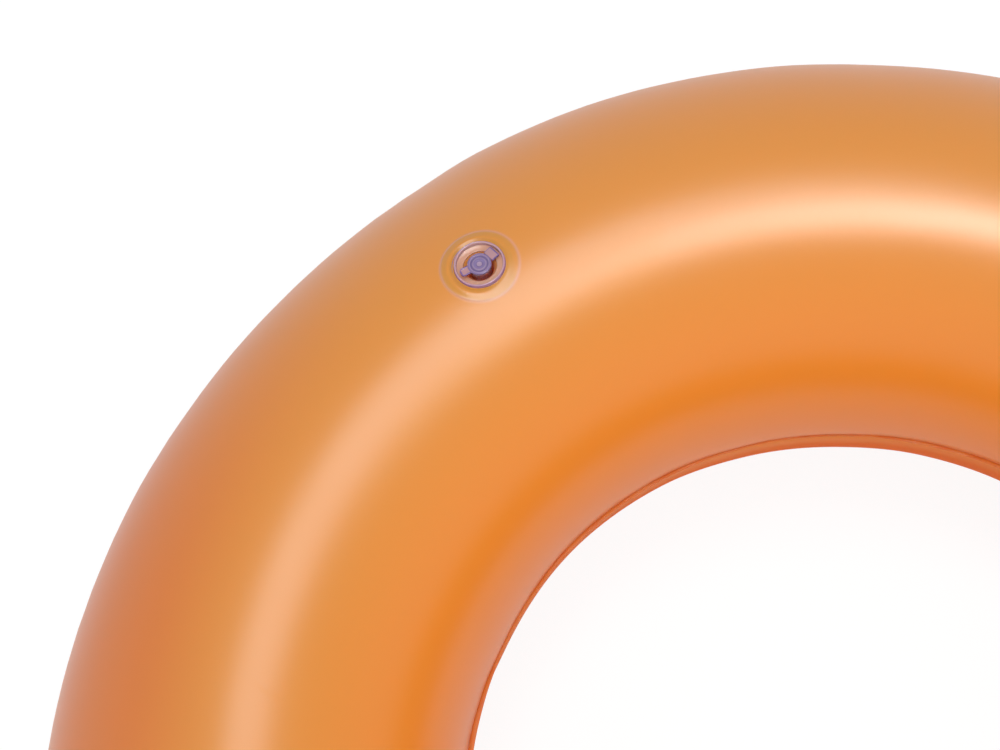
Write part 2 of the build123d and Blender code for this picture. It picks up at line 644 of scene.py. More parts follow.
@dataclass(frozen=True)
class ValvePlace:
    """The valve's own frame: its middle on the film, its axis and the two ways across it."""

    middle: Vector
    axis: Vector

    @classmethod
    def from_frame(cls, rim_height: float) -> "ValvePlace":
        """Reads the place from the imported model.

        Args:
            rim_height: How far the mount's point stands above the film.

        Returns:
            The place.
        """
        mouth = mount("blow_valve")
        axis = Vector(mouth["axis"]).normalized()
        return cls(Vector(mouth["pos_m"]) - axis * rim_height, axis)

    def matrix(self) -> Matrix:
        """From the valve's own frame to the row's."""
        along = Vector((0, 1, 0))
        outward = along.cross(self.axis)
        turn = Matrix((outward, along, self.axis)).transposed()
        return Matrix.Translation(self.middle) @ turn.to_4x4()

    def settle(self, piece: bpy.types.Object, turn: float = 0.0) -> None:
        """Puts a piece that was made in the valve's own frame in its place.

        Args:
            piece: The piece, made round the Z axis.
            turn: Angle in degrees to turn it by about that axis first.
        """
        turn_by(piece, self.matrix() @ Matrix.Rotation(math.radians(turn), 4, "Z"))

    def on_axis(self, height: float) -> Point:
        """The point on the valve's axis at a height in millimetres above the film, in the row's frame."""
        return tuple(self.matrix() @ Vector((0, 0, height * MM)))

    def local(self, points: Array) -> Array:
        """Points in the valve's own frame."""
        back = np.array(self.matrix().inverted())
        return points @ back[:3, :3].T + back[:3, 3]


# ---------------------------------------------------------------- finishes


@dataclass(frozen=True)
class Crease:
    """A short faint fold mark in the film.

    Attributes:
        around: Its place round the ring, in degrees.
        polar: Its place round the tube, in degrees.
        length: In metres.
        slant: Its angle from the line round the ring, in degrees.
        depth: In millimetres.
        bend: How far it curves aside for each metre of its run squared.
        width: In metres.
    """

    around: float
    polar: float
    length: float
    slant: float
    depth: float
    bend: float = 9.0
    width: float = 0.0011


@dataclass(frozen=True)
class FilmFinish:
    """Frosted, slightly see-through orange vinyl.

    Attributes:
        name: The material's name.
        tube: The tube's shape.
        valve: The valve's place.
        colour: Of the film, mixed with deep in soft clouds.
        deep: Its second colour.
        middle: Its colour on the tube's inner side, less pale than the film's colour, whose paler tone on the
            outer half is a painted reflection of the white surroundings.
        flank: Its colour high on the outer side, where y is large, painted darker there as shade on the side
            turned away from the light.
        facing_hole: Its colour on the side that faces the body hole, painted brighter and redder to stand in
            for light glowing through the film on that shaded side.
        fused: Its colour where the valve's plate is welded to it.
        shaded: Its colour below the inner weld, painted deeper red for the shade there and the glow of light
            coming through the film.
        edge: Its colour along the edge of the valve's plate.
        speck: The colour of its few dark specks.
        through: What it does to light that it scatters through itself.
        haze: Strength of its frosting.
        share: How much light it scatters through itself.
        roughness: Of its surface.
        gloss: Strength of its reflection.
        grain: Size of the grain in its surface, in metres.
        plate: Distances from the valve's axis over which the plate's colour ends, in millimetres.
        inner_side: Distances from the hole's axis over which middle ends, in metres.
        hole_side: The same for the painted glow on the side facing the hole.
        flank_in: Distances over which the painted shade sets in.
        flank_out: Distances over which the painted shade ends.
        flank_turn: The values of y over which it sets in.
        below: Heights above the floor over which the painted shaded colour ends.
        below_side: Distances from the hole's axis over which it ends.
        creases: Its fold marks.
    """

    name: str
    tube: Tube
    valve: ValvePlace
    colour: Point = (0.82, 0.378, 0.052)
    deep: Point = (0.81, 0.365, 0.042)
    middle: Point = (0.83, 0.34, 0.018)
    flank: Point = (0.79, 0.25, 0.02)
    facing_hole: Point = (0.99, 0.36, 0.01)
    fused: Point = (0.84, 0.35, 0.02)
    shaded: Point = (0.98, 0.26, 0.02)
    edge: Point = (0.78, 0.44, 0.34)
    speck: Point = (0.16, 0.07, 0.03)
    through: Point = (1.0, 0.5, 0.05)
    haze: float = 0.4
    share: float = 0.35
    roughness: float = 0.31
    gloss: float = 0.9
    grain: float = 0.0005
    plate: Span = (16.5, 17.9)
    inner_side: Span = (0.21, 0.31)
    hole_side: Span = (0.18, 0.24)
    flank_in: Span = (0.25, 0.3)
    flank_out: Span = (0.337, 0.353)
    flank_turn: Span = (0.02, 0.21)
    below: Span = (0.075, 0.09)
    below_side: Span = (0.19, 0.23)
    creases: tuple[Crease, ...] = (
        Crease(9.5, 100.0, 0.006, 70.0, 0.05),
        Crease(46.0, 103.0, 0.006, 60.0, 0.05),
        Crease(-48.0, 130.0, 0.008, 20.0, 0.05),
    )

    def marks(self, recipe: Recipe, place: Reckoned) -> Reckoned:
        """The fold marks' height in millimetres."""
        total: Reckoned | None = None
        for crease in self.creases:
            around, polar = math.radians(crease.around), math.radians(crease.polar)
            one = np.array([around]), np.array([polar]), np.array([self.tube.tube_radius])
            spot = Vector(self.tube.placed(*one)[0])
            ring_way = Vector((-math.sin(around), math.cos(around), 0))
            flat = math.cos(polar)
            normal = Vector((flat * math.cos(around), flat * math.sin(around), math.sin(polar)))
            ahead = Matrix.Rotation(math.radians(crease.slant), 3, normal) @ ring_way
            run, off = recipe.along(place, spot, ahead, normal.cross(ahead))
            bent = off - run * run * crease.bend
            ridge = bent.bell(crease.width) * run.bell(crease.length) * crease.depth
            total = ridge if total is None else total + ridge
        return total

    def make(self) -> bpy.types.Material:
        """Builds the material."""
        recipe = Recipe(self.name)
        place = recipe.place()
        from_valve = recipe.away_from(place, self.valve.middle, self.valve.axis)
        near_valve = 1.0 - from_valve.ease(self.plate[0] * MM, self.plate[1] * MM)
        clouds = recipe.noise(place, 0.12, 3.0)
        mottle = recipe.noise(place, 0.004, 3.0)
        shade = clouds.ease(0.3, 0.75) * 0.8 + mottle * 0.2
        body = recipe.mixed(shade, self.colour, self.deep)
        x, y, z = recipe.parts(place)
        from_middle = (x * x + y * y) ** 0.5
        # Painted reflection: the outer half keeps a paler tone for the white surroundings it would mirror,
        # and the inner side gets a deeper one.
        body = recipe.mixed(1.0 - from_middle.ease(*self.inner_side), body, self.middle)
        # Painted light: the side facing the body hole is painted brighter and redder, standing in for light
        # glowing through the film.
        body = recipe.mixed(1.0 - from_middle.ease(*self.hole_side), body, self.facing_hole)
        # Painted shade: the outer side towards large y is painted darker, as that side turns from the light.
        on_flank = from_middle.ease(*self.flank_in) * (1.0 - from_middle.ease(*self.flank_out))
        on_flank = on_flank * y.ease(*self.flank_turn)
        body = recipe.mixed(on_flank, body, self.flank)
        # Painted shade and glow: below the inner weld the film is painted deeper red.
        under = (1.0 - z.ease(*self.below)) * (1.0 - from_middle.ease(*self.below_side))
        body = recipe.mixed(under, body, self.shaded)
        body = recipe.mixed(near_valve * 0.75, body, self.fused)
        body = recipe.mixed((from_valve - 17.5 * MM).bell(0.7 * MM) * 0.55, body, self.edge)
        dust = recipe.add("TexVoronoi", values={"Vector": place, "Scale": 55.0}).socket.node
        rare = recipe.parts(Reckoned(recipe, dust.outputs["Color"]))[0].above(0.965)
        speck = (1.0 - Reckoned(recipe, dust.outputs["Distance"]).ease(0.012, 0.03)) * rare
        body = recipe.mixed(speck * 0.7, body, self.speck)
        grain = recipe.noise(place, self.grain, 2.0)
        waves = recipe.noise(place, 0.022, 2.0)
        height = self.marks(recipe, place) + waves * 0.07 + grain * 0.006
        rough = self.roughness + (clouds - 0.5) * 0.08 - near_valve * 0.07 + under * 0.25
        normal = recipe.relief(height, MM)
        recipe.finish(
            Base_Color=body,
            Roughness=rough,
            Normal=normal,
            Specular_IOR_Level=self.gloss,
            Sheen_Weight=self.haze,
            Sheen_Roughness=0.5,
        )
        return recipe.lit_through(self.share, self.through)


@dataclass(frozen=True)
class WeldFinish:
    """The fused edge of two films, with the fine ribs of the welding bar.

    Attributes:
        colour: Of the weld, mixed with pale in patches.
        pale: Its second colour.
        through: What it does to light that it scatters through itself.
        share: How much light it scatters so.
        ribs: How many ribs there are round the ring.
    """

    colour: Point = (0.78, 0.2, 0.025)
    pale: Point = (0.82, 0.26, 0.04)
    through: Point = (0.95, 0.28, 0.03)
    share: float = 0.3
    ribs: int = 1400

    def make(self) -> bpy.types.Material:
        """Builds the material."""
        recipe = Recipe("fused_weld")
        place = recipe.place()
        x, y, _ = recipe.parts(place)
        around = x.reckon("ARCTAN2", y, x)
        rib = (around * float(self.ribs)).reckon("SINE", around * float(self.ribs))
        patch = recipe.noise(place, 0.01, 2.0)
        body = recipe.mixed(patch.ease(0.3, 0.7), self.colour, self.pale)
        height = rib * 0.03 + recipe.noise(place, 0.002, 2.0) * 0.04
        recipe.finish(Base_Color=body, Roughness=0.34 + patch * 0.08, Normal=recipe.relief(height, MM))
        return recipe.lit_through(self.share, self.through)


@dataclass(frozen=True)
class Arm:
    """A flat arm that stands out from the valve's axis, such as the strap or the pull tab.

    Attributes:
        turn: Its direction round the axis, in degrees.
        half_width: In metres.
        root: Distance from the axis where it starts, in metres.
        reach: Distance from the axis where it ends, in metres.
    """

    turn: float
    half_width: float
    root: float
    reach: float


@dataclass(frozen=True)
class ClearFinish:
    """Clear soft vinyl with a violet tint.

    Attributes:
        name: The material's name.
        valve: The valve's place.
        rings: Distances from the valve's axis in metres, rising, and the colour from each on.
        rim: Its colour where it is seen along its surface.
        edge: Its colour along the edges of its arm.
        arm: The strap or tab that is part of the piece.
        clearness: How much light goes through.
        roughness: Of its surface.
        share: How much light it scatters through itself.
        through: What that does to the light.
    """

    name: str
    valve: ValvePlace
    rings: tuple[tuple[float, Point], ...] = ((0.0, (0.93, 0.86, 0.97)),)
    rim: Point = (0.42, 0.26, 0.72)
    edge: Point = (0.16, 0.12, 0.55)
    arm: Arm | None = None
    clearness: float = 0.85
    roughness: float = 0.1
    share: float = 0.0
    through: Point = (1.0, 0.85, 0.6)

    def ringed(self, recipe: Recipe, from_axis: Reckoned) -> Reckoned:
        """The colour by the distance from the valve's axis."""
        body: object = self.rings[0][1]
        for start, colour in self.rings[1:]:
            body = recipe.mixed(from_axis.ease(start - 0.12 * MM, start + 0.12 * MM), body, colour)
        return body

    def edged(self, recipe: Recipe, place: Reckoned, from_axis: Reckoned, body: object) -> Reckoned:
        """The colour with the darker edges of the arm, which gather the tint."""
        turn = Matrix.Rotation(math.radians(self.arm.turn), 3, self.valve.axis)
        ahead = turn @ Vector((0, 1, 0)).cross(self.valve.axis)
        aside = self.valve.axis.cross(ahead)
        run, off = recipe.along(place, self.valve.middle, ahead, aside)
        side = abs(off).ease(self.arm.half_width - 0.75 * MM, self.arm.half_width - 0.3 * MM)
        end = run.ease(self.arm.reach - 0.85 * MM, self.arm.reach - 0.4 * MM)
        on_arm = from_axis.ease(self.arm.root, self.arm.root + 0.2 * MM)
        return recipe.mixed(side.reckon("MAXIMUM", side, end) * on_arm * 0.8, body, self.edge)

    def make(self) -> bpy.types.Material:
        """Builds the material."""
        recipe = Recipe(self.name)
        place = recipe.place()
        cloud = recipe.noise(place, 0.003, 2.0)
        from_axis = recipe.away_from(place, self.valve.middle, self.valve.axis)
        body = self.ringed(recipe, from_axis)
        if self.arm:
            body = self.edged(recipe, place, from_axis, body)
        facing = recipe.add("LayerWeight", values={"Blend": 0.35}, output="Facing")
        body = recipe.mixed(facing ** 2.0, body, self.rim)
        height = recipe.noise(place, 0.0012, 2.0) * 0.02
        recipe.finish(
            Base_Color=body,
            Roughness=self.roughness + cloud * 0.08,
            Normal=recipe.relief(height, MM),
            IOR=1.5,
            Transmission_Weight=self.clearness,
        )
        return recipe.lit_through(self.share, self.through) if self.share else recipe.material


# ---------------------------------------------------------------- films and welds


class Half(Enum):
    """The two films, by the side of the welds they lie on."""

    UPPER = 1
    LOWER = -1


@dataclass
class Films:
    """The two rings of film, blown up between their welds.

    Attributes:
        tube: The tube's shape.
        puckers: The gathers beside the outer weld.
        unevenness: How far the tube swells from a true round ring.
        valve: The valve's place.
        finishes: Each film's material.
        wall: The film's thickness.
        round_steps: Faces round the ring.
        tube_steps: Faces round the whole tube.
        fine_rows: Heights of the extra rows beside the welds.
        patch: Half the width of the square that is left out round the valve.
        rings: Radii in millimetres of the rings that fill it, from the outside in to the collar's hole.
        ring_steps: Faces round each of them.
        profile: Distance from the valve's axis and how far the film stands up there, in millimetres.
        lean: How much higher it stands on one side, as a share.
        lean_at: The direction of that side round the valve's axis, in degrees.
        lean_from: Distance from the axis where the lean sets in, in millimetres.
        lean_run: How far from there it is full, in millimetres.
        pinch: How far the inner weld draws the film in.
        pinch_reach: How fast that ends away from the weld.
    """

    tube: Tube
    puckers: Puckers
    unevenness: Unevenness
    valve: ValvePlace
    finishes: dict[Half, bpy.types.Material]
    wall: float = 0.25 * MM
    round_steps: int = 768
    tube_steps: int = 96
    fine_rows: tuple[float, ...] = (0.5 * MM, 1.2 * MM, 2.2 * MM, 3.8 * MM)
    patch: float = 24.0 * MM
    rings: tuple[float, ...] = (
        21.0, 19.8, 19.0, 18.4, 18.0, 17.7, 17.4, 17.1, 16.8, 16.4, 15.6, 14.6, 13.6, 12.8, 12.2, 11.8, 11.5,
    )
    ring_steps: int = 144
    profile: tuple[Span, ...] = (
        (11.5, 0.15), (11.9, 0.15), (13.8, 0.65), (17.1, 0.22), (18.1, 0.0),
    )
    lean: float = 0.85
    lean_at: float = 40.0
    lean_from: float = 12.1
    lean_run: float = 1.5
    pinch: float = 0.5 * MM
    pinch_reach: float = 1.6 * MM

    def sheet(self, half: Half) -> bpy.types.Object:
        """Half of a torus, with extra rows beside its two edges."""
        bpy.ops.object.select_all(action="DESELECT")
        bpy.ops.mesh.primitive_torus_add(
            location=(0, 0, self.tube.seam_height),
            major_segments=self.round_steps,
            minor_segments=self.tube_steps,
            major_radius=self.tube.centre_radius,
            minor_radius=self.tube.tube_radius,
        )
        piece = bpy.context.object
        piece.name = piece.data.name = f"{half.name.lower()}_film_skin"
        bpy.ops.object.transform_apply()
        below = (face_centres(piece)[:, 2] - self.tube.seam_height) * half.value < 0
        select_faces(piece, below)
        bpy.ops.mesh.delete(type="FACE")
        for height in self.fine_rows:
            bpy.ops.mesh.select_all(action="SELECT")
            level = self.tube.seam_height + half.value * height
            bpy.ops.mesh.bisect(plane_co=(0, 0, level), plane_no=(0, 0, 1))
        leave()
        return piece

    def open_for_valve(self, piece: bpy.types.Object) -> None:
        """Swaps the grid round the valve for rings of faces that end at the collar's hole."""
        work_on(piece)
        near = self.valve.local(face_centres(piece))
        inside = (np.abs(near[:, :2]) < self.patch).all(axis=1) & (near[:, 2] > -self.patch)
        select_faces(piece, inside)
        bpy.ops.mesh.delete(type="FACE")
        bpy.ops.mesh.select_all(action="DESELECT")
        tilt = Vector((0, 0, 1)).rotation_difference(self.valve.axis).to_euler()
        bpy.ops.mesh.primitive_circle_add(
            vertices=self.ring_steps, radius=self.rings[0] * MM, location=self.valve.middle, rotation=tilt
        )
        leave()
        low = self.tube.seam_height + self.tube.tube_radius / 2

        def beside_patch(first: Vector, last: Vector) -> bool:
            """True on the square's edge and on the new circle."""
            return min(first.z, last.z) > low

        select_border(piece, True, beside_patch)
        bpy.ops.mesh.bridge_edge_loops()
        leave()
        select_border(piece, False, beside_patch)
        for before, after in zip(self.rings, self.rings[1:]):
            bpy.ops.mesh.extrude_region_move()
            share = after / before
            bpy.ops.transform.resize(value=(share, share, share), center_override=self.valve.middle)
        leave()

    def raised(self, points: Array) -> Array:
        """How far the film stands off its round shape beside the valve, in metres."""
        near = self.valve.local(points)
        away = np.hypot(near[:, 0], near[:, 1]) / MM
        side = np.arctan2(near[:, 1], near[:, 0]) - math.radians(self.lean_at)
        lean = 1 + self.lean * np.cos(side) * np.clip((away - self.lean_from) / self.lean_run, 0, 1)
        return eased(self.profile, away) * lean * MM * (near[:, 2] > -self.patch)

    def blow_up(self, piece: bpy.types.Object) -> None:
        """Gives every point its place on the full tube, with gathers, valve step and resting flat."""
        points = coordinates(piece)
        around, polar, _ = self.tube.polar(points)
        run = np.abs(polar) * self.tube.tube_radius
        from_inner = (math.pi - np.abs(polar)) * self.tube.tube_radius
        distance = self.tube.tube_radius - self.puckers.sink(around, run)
        distance += self.unevenness.swelling(around, polar)
        distance -= self.pinch * np.exp(-from_inner / self.pinch_reach)
        distance += self.raised(points)
        placed = self.tube.placed(around, polar, distance)
        placed[:, 2] += self.puckers.weave(around, run)
        placed[:, 2] = np.maximum(placed[:, 2], 0.0)
        move_to(piece, placed)

    def build(self, half: Half) -> bpy.types.Object:
        """Makes one film.

        Args:
            half: Which of the two.

        Returns:
            The finished film.
        """
        piece = self.sheet(half)
        if half is Half.UPPER:
            self.open_for_valve(piece)
        self.blow_up(piece)
        finish_with(piece, "SOLIDIFY", thickness=self.wall, offset=-1.0, use_rim=True)
        return dressed(piece, f"{half.name.lower()}_film", self.finishes[half], angle=50)


@dataclass
class Welds:
    """The fused edges of the two films, round the outside and round the body hole.

    Attributes:
        tube: The tube's shape.
        puckers: The gathers beside the outer weld.
        finish: Their material.
        thickness: Of the two films fused together, in millimetres.
        outer_width: How far the outer edge stands out, in millimetres.
        inner_width: How far the inner edge stands into the hole, in millimetres.
        root: How deep an edge reaches back between the films, in millimetres.
        round_steps: Faces round the ring.
    """

    tube: Tube
    puckers: Puckers
    finish: bpy.types.Material
    thickness: float = 0.5
    outer_width: float = 3.0
    inner_width: float = 1.5
    root: float = 0.45
    round_steps: int = 768

    def fin(self, name: str, inside: float, outside: float) -> bpy.types.Object:
        """A flat ring with soft edges, between two radii in millimetres."""
        half = self.thickness / 2
        soft = 0.45 * self.thickness
        level = self.tube.seam_height / MM
        corners = [
            (inside, level - half, soft),
            (outside, level - half, soft),
            (outside, level + half, soft),
            (inside, level + half, soft),
        ]
        return turned(name, rounded(corners, steps=3), self.round_steps)

    def outer(self) -> bpy.types.Object:
        """The gathered edge round the outside."""
        edge = (self.tube.centre_radius + self.tube.tube_radius) / MM
        piece = self.fin("outer_weld_edge", edge - self.root, edge + self.outer_width)
        points = coordinates(piece)
        around = np.arctan2(points[:, 1], points[:, 0])
        none = np.zeros(len(around))
        radius = np.hypot(points[:, 0], points[:, 1])
        out = np.clip((radius - edge * MM) / (self.outer_width * MM), 0, 1)
        inward = self.puckers.sink(around, none)
        points[:, 2] += self.puckers.weave(around, none) * (1 + 0.8 * out)
        points[:, :2] *= ((radius - inward) / radius)[:, None]
        move_to(piece, points)
        return dressed(piece, "outer_weld_seam", self.finish)

    def inner(self) -> bpy.types.Object:
        """The narrow edge that stands into the body hole."""
        edge = (self.tube.centre_radius - self.tube.tube_radius) / MM
        piece = self.fin("inner_weld_edge", edge - self.inner_width, edge + 2 * self.root)
        points = coordinates(piece)
        around = np.arctan2(points[:, 1], points[:, 0])
        tip = np.hypot(points[:, 0], points[:, 1]) < (edge - self.inner_width / 2) * MM
        points[:, 2] += tip * 0.18 * MM * (np.sin(23 * around) + np.sin(41 * around + 1.0))
        move_to(piece, points)
        return dressed(piece, "inner_weld_seam", self.finish)


# ---------------------------------------------------------------- the valve


@dataclass(frozen=True)
class ValveVinyl:
    """The valve's materials, one for each kind of piece."""

    clear: bpy.types.Material
    shelf: bpy.types.Material
    skirt: bpy.types.Material
    strap: bpy.types.Material
    plug: bpy.types.Material

    @classmethod
    def at(cls, place: ValvePlace) -> "ValveVinyl":
        """Makes the materials for a valve at a place."""
        pink, lilac = (0.72, 0.42, 0.46), (0.5, 0.36, 0.58)
        violet, dusk = (0.34, 0.25, 0.53), (0.24, 0.17, 0.42)
        flange_rings = (
            (0.0, (0.97, 0.62, 0.42)),
            (10.3 * MM, (0.88, 0.6, 0.66)),
            (11.0 * MM, (0.56, 0.38, 0.66)),
        )
        plug_rings = (
            (0.0, (0.66, 0.48, 0.66)),
            (1.2 * MM, violet),
            (2.6 * MM, lilac),
            (3.3 * MM, dusk),
            (4.1 * MM, lilac),
            (4.6 * MM, violet),
            (5.35 * MM, pink),
        )
        # Painted light: the clear skirt is coloured bright orange, standing in for the lit inside of the ring
        # seen through it, so the gap by the plug is not dark.
        skirt_painted_glow_rings = ((0.0, (1.0, 0.5, 0.1)),)
        strap_arm = Arm(-82.0, 3.0 * MM, 5.4 * MM, 9.2 * MM)
        tab_arm = Arm(84.0, 2.0 * MM, 5.4 * MM, 9.2 * MM)
        finishes = (
            ClearFinish("clear_vinyl", place),
            ClearFinish("clear_vinyl_flange", place, flange_rings, clearness=0.55),
            ClearFinish("clear_vinyl_skirt", place, skirt_painted_glow_rings, clearness=0.0, roughness=0.3, share=0.55),
            ClearFinish("clear_vinyl_strap", place, ((0.0, pink),), arm=strap_arm, clearness=0.5),
            ClearFinish("clear_vinyl_plug", place, plug_rings, arm=tab_arm, clearness=0.5),
        )
        return cls(*(finish.make() for finish in finishes))


@dataclass
class BlowValve:
    """The push-in mouthpiece with its plug, all sizes in millimetres in the valve's own frame.

    Heights are above the film at the valve's middle.
    """

    place: ValvePlace
    tube: Tube
    vinyl: ValveVinyl
    films: Films
    sharp: float = 40.0
    steps: int = 96
    plate_radius: float = 17.5
    plate_top: float = -0.27
    plate_bottom: float = -0.85
    collar_radius: float = 11.3
    collar_wall: float = 1.0
    collar_height: float = 1.3
    shelf_outer: float = -0.7
    shelf_inner: float = -1.1
    shelf_thickness: float = 0.8
    throat: float = 7.4
    stem_radius: float = 4.7
    bore_radius: float = 3.5
    seat_radius: float = 3.0
    rim_radius: float = 5.3
    rim_top: float = 0.1
    stem_bottom: float = -16.5
    skirt_wall: float = 0.5
    skirt_depth: float = 12.5
    skirt_foot: float = 5.9
    skirt_draw: float = 8.0
    head_top: float = 1.1
    stopper_radius: float = 3.3
    stopper_tip: float = 2.2
    stopper_length: float = 4.5
    tab_angle: float = 84.0
    tab_reach: float = 9.2
    tab_width: float = 4.0
    tab_thickness: float = 0.7
    tether_angle: float = -82.0
    tether_width: float = 5.6
    leaf: float = 0.45
    leaf_gap: float = 0.3
    fold_height: float = 0.25
    fold_distance: float = 8.74
    flap_radius: float = 4.2
    flap_hinge: float = 4.6
    flap_tongue: float = 4.0
    flap_thickness: float = 0.4
    flap_gap: float = 0.1
    flap_angle: float = 98.0

    def dressed(
        self, piece: bpy.types.Object, node: str, body: str | None, finish: bpy.types.Material
    ) -> bpy.types.Object:
        """Dresses a valve piece."""
        return dressed(piece, node, finish, body, self.sharp)

    def flange(self) -> bpy.types.Object:
        """The plate under the film, the collar and the shelf in it, as one moulding."""
        shelf_bottom = self.shelf_inner - self.shelf_thickness
        inner = self.collar_radius - self.collar_wall
        corners = [
            (self.throat, self.shelf_inner, 0.3),
            (8.6, self.shelf_inner + 0.02, 0.0),
            (inner, self.shelf_outer, 0.35),
            (inner, self.collar_height, 0.45),
            (self.collar_radius, self.collar_height, 0.45),
            (self.collar_radius, self.plate_top, 0.0),
            (13.0, self.plate_top, 0.0),
            (15.0, self.plate_top, 0.0),
            (self.plate_radius, -0.3, 0.2),
            (self.plate_radius, -0.8, 0.15),
            (15.0, self.plate_bottom, 0.0),
            (13.0, self.plate_bottom, 0.0),
            (self.collar_radius, self.plate_bottom, 0.0),
            (self.collar_radius - 0.2, shelf_bottom, 0.3),
            (self.throat, shelf_bottom, 0.3),
        ]
        piece = turned("valve_collar", rounded(corners), self.steps)
        points = coordinates(piece)
        away = np.hypot(points[:, 0], points[:, 1])
        matrix = np.array(self.place.matrix())
        world = points @ matrix[:3, :3].T + matrix[:3, 3]
        around, polar, _ = self.tube.polar(world)
        film = self.tube.placed(around, polar, np.full(len(away), self.tube.tube_radius))
        on_film = self.place.local(film)
        beyond = (away / MM - self.collar_radius) > np.where(points[:, 2] < -0.2 * MM, -0.05, 0.05)
        top = points[:, 2] > -0.5 * MM
        points[:, 2] += beyond * (on_film[:, 2] + top * self.films.raised(world))
        move_to(piece, points)
        self.place.settle(piece)
        return self.dressed(piece, "valve_flange", "float", self.vinyl.shelf)

    def bellows(self) -> bpy.types.Object:
        """The thin skirt from the shelf down to the stem, which turns over as the stem moves."""
        top = self.shelf_inner - self.shelf_thickness
        wide = self.throat + 0.1
        bottom = -self.skirt_depth
        wall = self.skirt_wall
        foot = self.skirt_foot

        def slope(radius_top: float, radius_foot: float, low: float, count: int) -> Outline:
            """Points down one side of the skirt, which draws in fast below the shelf."""
            line = []
            for number in range(count + 1):
                share = (number / count) ** 1.5
                radius = radius_foot + (radius_top - radius_foot) * (1 - share) ** self.skirt_draw
                line.append((radius, top + (low - top) * share))
            return line

        outside = slope(wide + wall, foot, bottom, 24)
        inside = slope(wide, foot - wall, bottom + wall, 24)
        outline = outside + [(self.stem_radius, bottom), (self.stem_radius, bottom + wall)] + inside[::-1]
        piece = turned("valve_skirt", outline + outline[:1], self.steps)
        self.place.settle(piece)
        self.dressed(piece, "valve_bellows", None, self.vinyl.skirt)
        start, end = self.place.on_axis(top - 0.3), self.place.on_axis(bottom + wall)
        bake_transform(piece)
        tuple(start)
        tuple(end)
        return piece

    def stem(self) -> bpy.types.Object:
        """The mouthpiece tube with its rim and the seat at its foot."""
        corners = [
            (self.seat_radius, self.stem_bottom, 0.15),
            (self.stem_radius, self.stem_bottom, 0.3),
            (self.stem_radius, self.rim_top - 1.0, 0.15),
            (self.rim_radius, self.rim_top - 1.0, 0.25),
            (self.rim_radius, self.rim_top, 0.12),
            (self.bore_radius, self.rim_top, 0.3),
            (self.bore_radius, self.stem_bottom + 1.0, 0.2),
            (self.seat_radius, self.stem_bottom + 1.0, 0.15),
        ]
        piece = turned("mouthpiece_stem", rounded(corners, steps=4), self.steps)
        self.place.settle(piece)
        return self.dressed(piece, "valve_stem", "stem", self.vinyl.clear)

    def tab(self) -> bpy.types.Object:
        """The plug's pull tab, a plate with a raised rim, pointing along X."""
        bpy.ops.object.select_all(action="DESELECT")
        root = self.rim_radius - 1.0
        middle = ((root + self.tab_reach) / 2 * MM, 0, (self.head_top - self.tab_thickness / 2) * MM)
        bpy.ops.mesh.primitive_cube_add(size=MM, location=middle)
        piece = bpy.context.object
        piece.scale = (self.tab_reach - root, self.tab_width, self.tab_thickness)
        bpy.ops.object.transform_apply()
        far = (self.tab_reach - 0.1) * MM

        def far_upright(first: Vector, last: Vector) -> bool:
            """True on the two upright edges at the tab's end."""
            return min(first.x, last.x) > far and abs(first.z - last.z) > 0.1 * MM

        select_edges(piece, far_upright)
        bpy.ops.mesh.bevel(offset=1.4 * MM, segments=8)
        leave()
        normals = np.array([face.normal[:] for face in piece.data.polygons])
        select_faces(piece, normals[:, 2] > 0.9)
        bpy.ops.mesh.inset(thickness=0.55 * MM)
        bpy.ops.mesh.extrude_region_move(TRANSFORM_OT_translate={"value": (0, 0, -0.28 * MM)})
        leave()
        finish_with(piece, "BEVEL", width=0.08 * MM, segments=2, limit_method="ANGLE", angle_limit=0.8)
        turn_by(piece, Matrix.Rotation(math.radians(self.tab_angle), 4, "Z"))
        return piece

    def plug(self) -> bpy.types.Object:
        """The plug: its stepped head with a dimple, the hollow stopper and the tab."""
        top, seat = self.head_top, self.rim_top
        corners = [
            (0.0, seat - self.stopper_length, 0.0),
            (self.stopper_tip, seat - self.stopper_length, 0.5),
            (self.stopper_radius, seat - 0.3, 0.1),
            (self.stopper_radius, seat, 0.0),
            (self.rim_radius, seat, 0.15),
            (self.rim_radius, top - 0.1, 0.25),
            (4.3, top, 0.3),
            (3.75, top - 0.35, 0.15),
            (3.35, top - 0.35, 0.15),
            (3.0, top - 0.05, 0.2),
            (1.6, top - 0.1, 0.3),
            (1.1, top - 0.6, 0.15),
            (0.0, top - 0.6, 0.0),
        ]
        piece = turned("plug_with_tab", rounded(corners, closed=False, steps=4), self.steps)
        tab = self.tab()
        finish_with(piece, "BOOLEAN", operation="UNION", object=tab, solver="EXACT")
        bpy.data.objects.remove(tab, do_unlink=True)
        self.place.settle(piece)
        return self.dressed(piece, "stem_plug", "plug", self.vinyl.plug)

